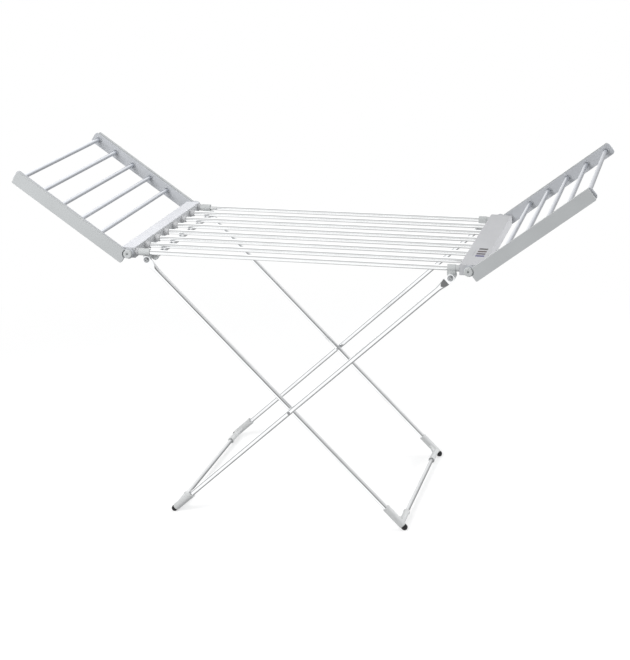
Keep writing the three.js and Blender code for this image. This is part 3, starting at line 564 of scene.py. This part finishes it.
# Printed marks on the right housing: four short bars of ink and a hairline beside them, each a thin
# satin film laid on the textured top.
film_z = housing_top - 0.01
for index, (y, colour) in enumerate((
    (-95, (0.014, 0.010, 0.012)), (-116.5, (0.035, 0.008, 0.012)),
    (-136, (0.028, 0.010, 0.035)), (-153.5, (0.020, 0.016, 0.13)),
)):
    ink = plastic(f"printed_ink_{index + 1}", colour, 0.4, 0.05, 0.12)
    film = carried([(403.5, 0), (423.5, 0), (423.5, 0.12), (403.5, 0.12)], y - 5.5, y + 5.5)
    film = shifted(film, middle_x, 0, film_z)
    make(f"printed_mark_{index + 1}", [film], ink, "rack")
grey_ink = plastic("printed_grey", (0.33, 0.34, 0.36), 0.4)
hairline = shifted(box((396.6, 397.4), (-156, -104), (film_z, film_z + 0.07)), middle_x)
make("printed_hairline", [hairline], grey_ink, "rack")

# Plate screws: zinc-plated steel with a countersunk head and a cross recess. They hold the plates up
# against the two housings from below, three at the left and four at the right.
screw_steel = metal("screw_steel", (0.40, 0.41, 0.42), 0.24, "Y", 0.1)
bar_pitch = bar_places[1] - bar_places[0]
plate_screws = [(-407.5, count * bar_pitch) for count in (-2, 0, 2)]
plate_screws += [(397.5, count * bar_pitch) for count in (-3, -1, 1, 3)]
for index, (x, y) in enumerate(plate_screws):
    spot = (x + middle_x, y, housing_bottom + 0.3)
    head = turned([(2.4, -0.6), (3.1, -0.3), (3.1, 0.2), (1.5, 1.6), (1.5, 9)], "Z", 32)
    recess = [box((-2, 2), (-0.35, 0.35), (-1, 0.5)), box((-0.35, 0.35), (-2, 2), (-1, 0.5))]
    make(
        f"plate_screw_{index + 1}", [shifted(head, *spot)], screw_steel, "rack", (),
        [shifted(slit, *spot) for slit in recess],
    )

# Cord inlet: a flanged bush of black rubber. It is pressed through the right housing's plate, near its
# front end.
foot_rubber = plastic("foot_rubber", (0.012, 0.012, 0.013), 0.62, 0.2, 0.2)
bush = turned([
    (3.6, 638.4), (4, 638), (7.6, 638), (8, 638.4), (8, 639.7), (7.7, 640), (5, 640), (5, 644.4),
    (4.7, 644.7), (3.9, 644.7), (3.6, 644.4),
], "Z", 40, closed=True)
inlet = shifted(bush, 415.31 + middle_x, -197.1)
make("cord_inlet_ring", [inlet], foot_rubber, "rack", "cord_inlet_bush")

# Inside the right housing: a nylon terminal block and thermal cut-out. The heating wire in its
# silicone sleeve runs from them through the bars.
nylon = plastic("block_nylon", (0.79, 0.76, 0.66), 0.5)
silicone = plastic("wire_silicone", (0.66, 0.61, 0.50), 0.66, 0.2)
for node, finish in (("terminal_block", nylon), ("thermal_cutout", nylon), ("heating_wire", silicone)):
    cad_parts[node].material_slots[0].material = finish

# Fixed leg brackets: one satin grey plastic moulding each, a sleeve on the outer bar with a neck that
# reaches the housing and a web down to the round lug that the leg turns against.
fitting_plastic = plastic("fitting_plastic", (0.61, 0.62, 0.62), 0.42, 0.06)
bracket_plastic = plastic("bracket_plastic", (0.53, 0.545, 0.545), 0.42, 0.06)
lug_x, pivot_z = 363, 636
outer_pivot_x, inner_pivot_x = middle_x + lug_x, middle_x - lug_x
inner_plane, outer_plane = 224.5, 242
on_bar = (0, outer_bar_y, bar_z)
for where, side in halves.items():
    forms = [
        shifted(turned([(8, 352), (8.5, 352.6), (8.5, 370.4), (8, 371)], "X", 48), *on_bar),
        shifted(turned([(7.4, 352.5), (7.4, 379.4), (7, 379.7)], "X", 48), *on_bar),
        box((352, 371), (210.8, 226.4), (pivot_z, bar_z)),
        shifted(turned([(9.2, 210.8), (9.2, 239.6), (8.8, 240.2)], "Y", 48), lug_x, 0, pivot_z),
    ]
    holes = [
        shifted(turned([(bar_fit, 340), (bar_fit, 390)], "X"), *on_bar),
        shifted(turned([(3, 200), (3, 250)], "Y"), lug_x, 0, pivot_z),
    ]
    make(
        "fixed_leg_bracket_" + where, [shifted(form, middle_x) for form in mirrored(forms, side)],
        bracket_plastic, "rack", "fixed_bracket_" + where,
        [shifted(form, middle_x) for form in mirrored(holes, side)], melt=0.45, crease=180,
    )

# Sliding leg brackets: of the same plastic, a sleeve that runs on the outer bar, with the leg's lug
# below and an arm inwards whose socket holds the tie tube.
tie_x, tie_z = -348, 640
for where, side in halves.items():
    forms = [
        shifted(turned([(8, -383), (8.5, -382.4), (8.5, -355.6), (8, -355)], "X", 48), *on_bar),
        box((-372.2, -355), (213, 222.7), (pivot_z, bar_z)),
        shifted(turned([(8.9, 213), (8.9, 222.1), (8.5, 222.7)], "Y", 48), -lug_x, 0, pivot_z),
        box((-372.2, tie_x), (202.4, 209.9), (tie_z, tie_z + 7)),
        box((-372.2, -355), (202.4, outer_bar_y), (tie_z, tie_z + 7)),
        shifted(turned([(8, 202.4), (8.3, 202.8), (8.3, 209.5), (8, 209.9)], "Y", 48), tie_x, 0, tie_z),
    ]
    holes = [
        shifted(turned([(bar_fit, -400), (bar_fit, -340)], "X"), *on_bar),
        shifted(turned([(3, 205), (3, 230)], "Y"), -lug_x, 0, pivot_z),
        shifted(turned([(bar_fit, 190), (bar_fit, 207.4)], "Y"), tie_x, 0, tie_z),
    ]
    make(
        "sliding_leg_bracket_" + where, [shifted(form, middle_x) for form in mirrored(forms, side)],
        bracket_plastic, "slide", "slide_bracket_" + where,
        [shifted(form, middle_x) for form in mirrored(holes, side)], melt=0.45, crease=180,
    )

# Tie tube: a drawn aluminium tube across the rack, held in the sockets of the two sliding brackets,
# which it keeps level with each other.
tie_metal = metal("tie_aluminium", (0.80, 0.81, 0.82), 0.28, "Y")
tie = shifted(tube("Y", bar_radius, bar_bore, -207.1, 207.1, 48), tie_x + middle_x, 0, tie_z)
make("slide_tie_tube", [tie], tie_metal, "slide", "slide_tube")


# Leg pivot screws: zinc-plated steel, a plain washer under a domed pan head with a six-sided socket.
# Each goes through a leg's flat end into the lug of its bracket.
def pivot_screw(kind, where, x, plane, root, body):
    seat = plane + 1.8
    socket = [(2.2, seat + 3.9), (2.2, seat + 2.1)]

    def six_sided(ring, angle):
        return cos(pi / 6) / cos((angle % (pi / 3)) - pi / 6) if ring in socket else 1

    profile = [
        (2.7, root), (2.7, seat), (6.8, seat), (7, seat + 0.2), (7, seat + 0.7), (6.8, seat + 0.9),
        (5.2, seat + 0.9), (5.2, seat + 2.4), (4.9, seat + 3.2), (4.1, seat + 3.75), (3.0, seat + 3.9),
    ] + socket
    form = shifted(turned(profile, "Y", 48, bend=six_sided), x, 0, pivot_z)
    make(
        f"{kind}_pivot_screw_{where}", mirrored([form], halves[where]), screw_steel, body,
        f"{kind}_leg_screw_{where}", crease=35,
    )


for where in halves:
    pivot_screw("outer", where, outer_pivot_x, outer_plane, 219, "rack")
    pivot_screw("inner", where, inner_pivot_x, inner_plane, 213, "slide")


# Legs: bright drawn tubes, 12 mm across. Each upper end is pressed flat round its screw, with a keen
# cross crease below it, where two sloped faces run out in a point over the crest of the tube.
def leg_ring(distance, half_width, half_round, half_press):
    """A section of the leg below its screw: a round or oval tube, cut flat where it is pressed."""
    crest = half_width * max(sqrt(max(1 - (half_press / half_round) ** 2, 0)), 0.25)
    turn = acos(crest / half_width)
    quarter = []
    for step in range(7):
        x = crest * step / 6
        quarter.append((x, min(half_press, half_round * sqrt(1 - (x / half_width) ** 2))))
    for step in range(1, 11):
        angle = turn * (1 - step / 10)
        quarter.append((half_width * cos(angle), half_round * sin(angle)))
    ring = quarter + [(x, -y) for x, y in reversed(quarter[:-1])]
    ring += [(-x, -y) for x, y in quarter[1:]] + [(-x, y) for x, y in reversed(quarter[1:-1])]
    return [(x, y, -distance) for x, y in ring]


def skinned(rings):
    """A closed skin over rings of equally many points."""
    sides = len(rings[0])
    points = [point for ring in rings for point in ring]
    faces = [tuple(range(sides)), tuple((len(rings) - 1) * sides + step for step in range(sides))]
    for ring in range(len(rings) - 1):
        here, there = ring * sides, (ring + 1) * sides
        for step in range(sides):
            after = (step + 1) % sides
            faces.append((here + step, here + after, there + after, there + step))
    return points, faces


def leg_tube(end):
    """The leg from its rounded flat end, past the crease, to the open end in the corner fitting."""
    radius, bore, flat_half_width, flat_half = 6, 4.9, 9.2, 1.5
    crease, crest_run, neck_run = 12, 16, 30
    rings = []
    for degrees in (12, 24, 36, 48, 60, 75):
        angle = radians(degrees)
        above, half_width = flat_half_width * cos(angle), flat_half_width * sin(angle)
        rings.append(leg_ring(-above, half_width, radius, flat_half))
    for distance in (0, crease - 0.3):
        rings.append(leg_ring(distance, flat_half_width, radius, flat_half))
    for reach in list(range(crest_run + 1)) + [18, 20, 22, 24, 27, neck_run]:
        share = reach / neck_run
        drawn_in = share * share * (3 - 2 * share)
        half_width = flat_half_width - (flat_half_width - radius) * drawn_in
        pressed = min(flat_half + (radius - flat_half) * reach / crest_run, radius)
        rings.append(leg_ring(crease + reach, half_width, radius, pressed))
    rings.append(leg_ring(end, radius, radius, radius))
    rings += [leg_ring(distance, bore, bore, bore) for distance in (end, 60)]
    return skinned(rings)


outer_reach, inner_reach = 692, 622
crossing_share = 2 * lug_x / (outer_reach + inner_reach)
floor_bar_rise, socket_depth = 21, 12.3
LegFrame = namedtuple("LegFrame", "kind body plane tilt length crossing place")
leg_frames = []
for kind, x, plane, reach, way in (
    ("outer", outer_pivot_x, outer_plane, outer_reach, 1),
    ("inner", inner_pivot_x, inner_plane, inner_reach, -1),
):
    tilt, length = way * atan2(reach, pivot_z), hypot(reach, pivot_z)
    crossing = length * crossing_share
    place = Matrix.Translation((x / 1000, 0, pivot_z / 1000)) @ Matrix.Rotation(tilt, 4, "Y")
    body = kind + "_legs"
    leg_frames.append(LegFrame(kind, body, plane, tilt, length, crossing, place))
    leg_metal = metal(f"leg_aluminium_{kind}", (0.88, 0.89, 0.90), 0.10, "Z", turn=tilt)
    leg = leg_tube(length - floor_bar_rise - socket_depth)
    screw_hole = turned([(3.3, -12), (3.3, 12)], "Y")
    pin_hole = shifted(turned([(2.8, -12), (2.8, 12)], "Y"), 0, 0, -crossing)
    for where, side in halves.items():
        make(
            f"{kind}_leg_tube_{where}", [shifted(leg, 0, side * plane)], leg_metal, body,
            f"{kind}_leg_{where}",
            [shifted(hole, 0, side * plane) for hole in (screw_hole, pin_hole)], place, crease=13,
        )


# Corner fittings: satin grey mouldings at the legs' lower ends. Each has a long socket for the leg,
# with a rim at its mouth, a short socket for the floor bar, and a gusset between the two.
def corner_forms(length, plane):
    """The solids and the holes of the fitting at the back."""
    low, branch = -length + 13.7, -length + floor_bar_rise
    gusset = [(plane, branch), (plane - 30.8, branch), (plane, branch + 29.2)]
    solids = [
        shifted(turned([
            (7.7, low), (8.3, low + 0.8), (8.8, low + 3), (8.8, low + 56.6), (9.4, low + 57.2),
            (9.4, low + 59.6), (9.0, low + 60),
        ], "Z", 48), 0, plane),
        shifted(turned([
            (7.9, plane - 66), (8.3, plane - 65.6), (8.3, plane - 63.4), (7.2, plane - 62.8),
            (7.2, plane - 3), (6.6, plane),
        ], "Y", 48), 0, 0, branch),
        (
            [(x, y, z) for x in (-2.5, 2.5) for y, z in gusset],
            [(0, 1, 2), (3, 4, 5), (0, 1, 4, 3), (1, 2, 5, 4), (2, 0, 3, 5)],
        ),
    ]
    bores = [
        shifted(turned([(6.3, branch + 12), (6.3, low + 70)], "Z"), 0, plane),
        shifted(turned([(5.3, plane - 80), (5.3, plane - 12)], "Y"), 0, 0, branch),
        shifted(turned([(5.3, low - 10), (5.3, low + 7.3)], "Z"), 0, plane),
    ]
    return solids, bores


for legs in leg_frames:
    solids, bores = corner_forms(legs.length, legs.plane)
    for where, side in halves.items():
        make(
            f"{legs.kind}_corner_fitting_{where}", mirrored(solids, side), fitting_plastic, legs.body,
            f"{legs.kind}_corner_{where}", mirrored(bores, side), legs.place,
            melt=0.5, crease=180,
        )

# Feet: black rubber tips pushed up into the corner fittings. Each is a ball end, worn flat at the
# leg's slant where it stands on the floor.
tip_radius, tip_height = 7.5, 6.3
for legs in leg_frames:
    across, down = sin(legs.tilt), cos(legs.tilt)
    ball, seat = -legs.length + tip_height / down, -legs.length + 13.4
    profile = []
    for step in range(1, 13):
        angle = pi / 24 * step
        profile.append((tip_radius * sin(angle), ball - tip_radius * cos(angle)))
    profile += [(tip_radius, seat - 0.5), (7.1, seat), (5, seat), (5, seat + 7)]
    for where, side in halves.items():
        points, faces = shifted(turned(profile, "Z", 48), 0, side * legs.plane)
        worn = []
        for x, y, z in points:
            under_floor = min(0, pivot_z - x * across + z * down)
            worn.append((x + under_floor * across, y, z - under_floor * down))
        make(
            f"{legs.kind}_rubber_tip_{where}", [(worn, faces)], foot_rubber, legs.body,
            f"{legs.kind}_foot_{where}", (), legs.place, crease=35,
        )

# Floor bars: satin drawn aluminium tubes, 10 mm across. One ties the corner fittings of each leg frame
# just above the floor.
floor_metal = metal("floor_bar_aluminium", (0.62, 0.63, 0.635), 0.3, "Y")
for legs in leg_frames:
    end = legs.plane - socket_depth
    bar = shifted(tube("Y", 5, 4.1, -end, end, 40), 0, 0, floor_bar_rise - legs.length)
    make(
        f"{legs.kind}_floor_tube", [bar], floor_metal, legs.body,
        f"{legs.kind}_floor_bar", (), legs.place,
    )

# Crossing pins: steel rivets on which the two leg frames turn against each other, with a shoulder
# between the legs, a domed head outside and a set end inside.
rivet = [
    (4.7, 230.8), (5, 231.1), (5, 235.4), (4.7, 235.7), (2.5, 235.7), (2.5, 248.3), (3.4, 248.3),
    (3.4, 249.2), (2.9, 249.9), (2.1, 250.3), (1.5, 249.6), (1.2, 249.0),
]
rivet_end = [(1.6, 216.4), (2.8, 216.7), (3.4, 217.4), (3.4, 218.2), (2.4, 218.2), (2.4, 230.5)]
outer_legs, inner_legs = leg_frames
for where, side in halves.items():
    for legs, profile, name, node in (
        (outer_legs, rivet, "crossing_rivet_" + where, "crossing_pin_" + where),
        (inner_legs, rivet_end, "crossing_rivet_end_" + where, ()),
    ):
        form = shifted(turned(profile, "Y", 40), 0, 0, -legs.crossing)
        make(
            name, mirrored([form], side), screw_steel, legs.body, node, (), legs.place,
            crease=35,
        )

# Wing rails: moulded grey plastic, an outer cover over a slightly smaller inner layer, with a narrow
# neck between them. A tongue of the inner layer turns on the bolt, behind the cap in its round pocket.
rail_plastic = plastic("rail_plastic", (0.485, 0.50, 0.505), 0.46, 0.08)
layer_plastic = plastic("rail_layer_plastic", (0.50, 0.515, 0.54), 0.46, 0.08)
rung_places = [86 + 56.25 * index for index in range(5)]
rung_z = -10.3
cover_outline = rounded([(2, -28, 3), (322.5, -28, 3), (322.5, 3, 3), (2, 3, 0)], 8)
layer_outline = rounded([(3.4, -26.6, 3), (327, -26.6, 6), (327, 1.6, 6), (3.4, 1.6, 0)], 8)
neck_outline = rounded([(4.6, -24.8, 3), (321, -24.8, 3), (321, -0.2, 3), (4.6, -0.2, 0)], 4)
Wing = namedtuple("Wing", "name body out pivot_x place")
wings = []
for name, out, rise in (("left", -1, 35), ("right", 1, 37.6)):
    body, pivot_x = name + "_wing", out * wing_pivot_x + middle_x
    lifted = Matrix.Rotation(radians(-out * rise), 4, "Y")
    place = Matrix.Translation((pivot_x / 1000, 0, wing_pivot_z / 1000)) @ lifted
    wings.append(Wing(name, body, out, pivot_x, place))
    cover, layer, neck = (
        [(out * x, z) for x, z in outline] for outline in (cover_outline, layer_outline, neck_outline)
    )
    layer_forms = [
        carried(layer, 230, 236.4), carried(neck, 236, 238.6),
        turned([(12.4, 230.15), (12.4, 238.2)], "Y", 64),
        box((out * 0.2, out * 14.4), (230.1, 238.1), (-12.2, 1.4)),
    ]
    cap_pocket = turned([(12.3, 236), (12.3, 260)], "Y", 64)
    bolt_hole = turned([(4.6, 220), (4.6, 245)], "Y")
    layer_holes = [bolt_hole, turned([(12.35, 238.25), (12.35, 260)], "Y", 64)]
    for x in rung_places:
        layer_holes.append(shifted(turned([(5.3, 220), (5.3, 237.9)], "Y"), out * x, 0, rung_z))
    for where, side in halves.items():
        node = f"{name}_wing_rail_{where}"
        make(
            f"{name}_rail_cover_{where}", mirrored([carried(cover, 238.3, 247)], side), rail_plastic,
            body, node, mirrored([cap_pocket], side), place, edge=1.1,
        )
        make(
            f"{name}_rail_inner_{where}", mirrored(layer_forms, side), layer_plastic, body,
            node, mirrored(layer_holes, side), place, edge=0.5,
        )

# Rung rings: round collars moulded on the rails' inner faces, one with a raised lip round the end of
# every rung.
ring = turned([
    (5.3, 228.4), (5.5, 227.3), (6.3, 227), (7.0, 227.3), (7.2, 228), (7.3, 229.2), (8.2, 228.9),
    (8.6, 229.3), (8.7, 230.2), (5.3, 230.2),
], "Y", 40, closed=True)
for wing in wings:
    for where, side in halves.items():
        for index, x in enumerate(rung_places):
            collar = mirrored([shifted(ring, wing.out * x, 0, rung_z)], side)
            make(
                f"{wing.name}_rung_ring_{index + 1}_{where}", collar, layer_plastic, wing.body,
                (), (), wing.place, crease=50,
            )

# Rungs: five satin drawn aluminium tubes to a wing, 10 mm across, pushed into blind holes in the two
# rails. They are darker and duller than the heated bars.
rung_metal = metal("rung_aluminium", (0.66, 0.68, 0.72), 0.28, "Y")
for wing in wings:
    for index, x in enumerate(rung_places):
        rung = shifted(tube("Y", 5, 4.2, -237.7, 237.7, 40), wing.out * x, 0, rung_z)
        make(
            f"{wing.name}_rung_tube_{index + 1}", [rung], rung_metal, wing.body,
            f"{wing.name}_wing_rung_{index + 1}", (), wing.place,
        )

# Wing pivot caps: wide round plastic heads over the hinge tongues, each with a small centre dimple.
# The bolt behind the head stands in the housing's end.
bolt = turned([
    (4, 221.5), (4, 238.6), (10, 238.6), (10.3, 238.9), (10.3, 244.6), (10, 245.3), (9.3, 245.8),
    (8.4, 246), (3.3, 246), (2.8, 245.7), (2.5, 245.0), (2.4, 242.0),
], "Y", 56)
for wing in wings:
    for where, side in halves.items():
        cap = mirrored([shifted(bolt, wing.pivot_x, 0, wing_pivot_z)], side)
        make(
            f"{wing.name}_pivot_cap_{where}", cap, bracket_plastic, "rack",
            f"{wing.name}_wing_bolt_{where}", crease=35,
        )
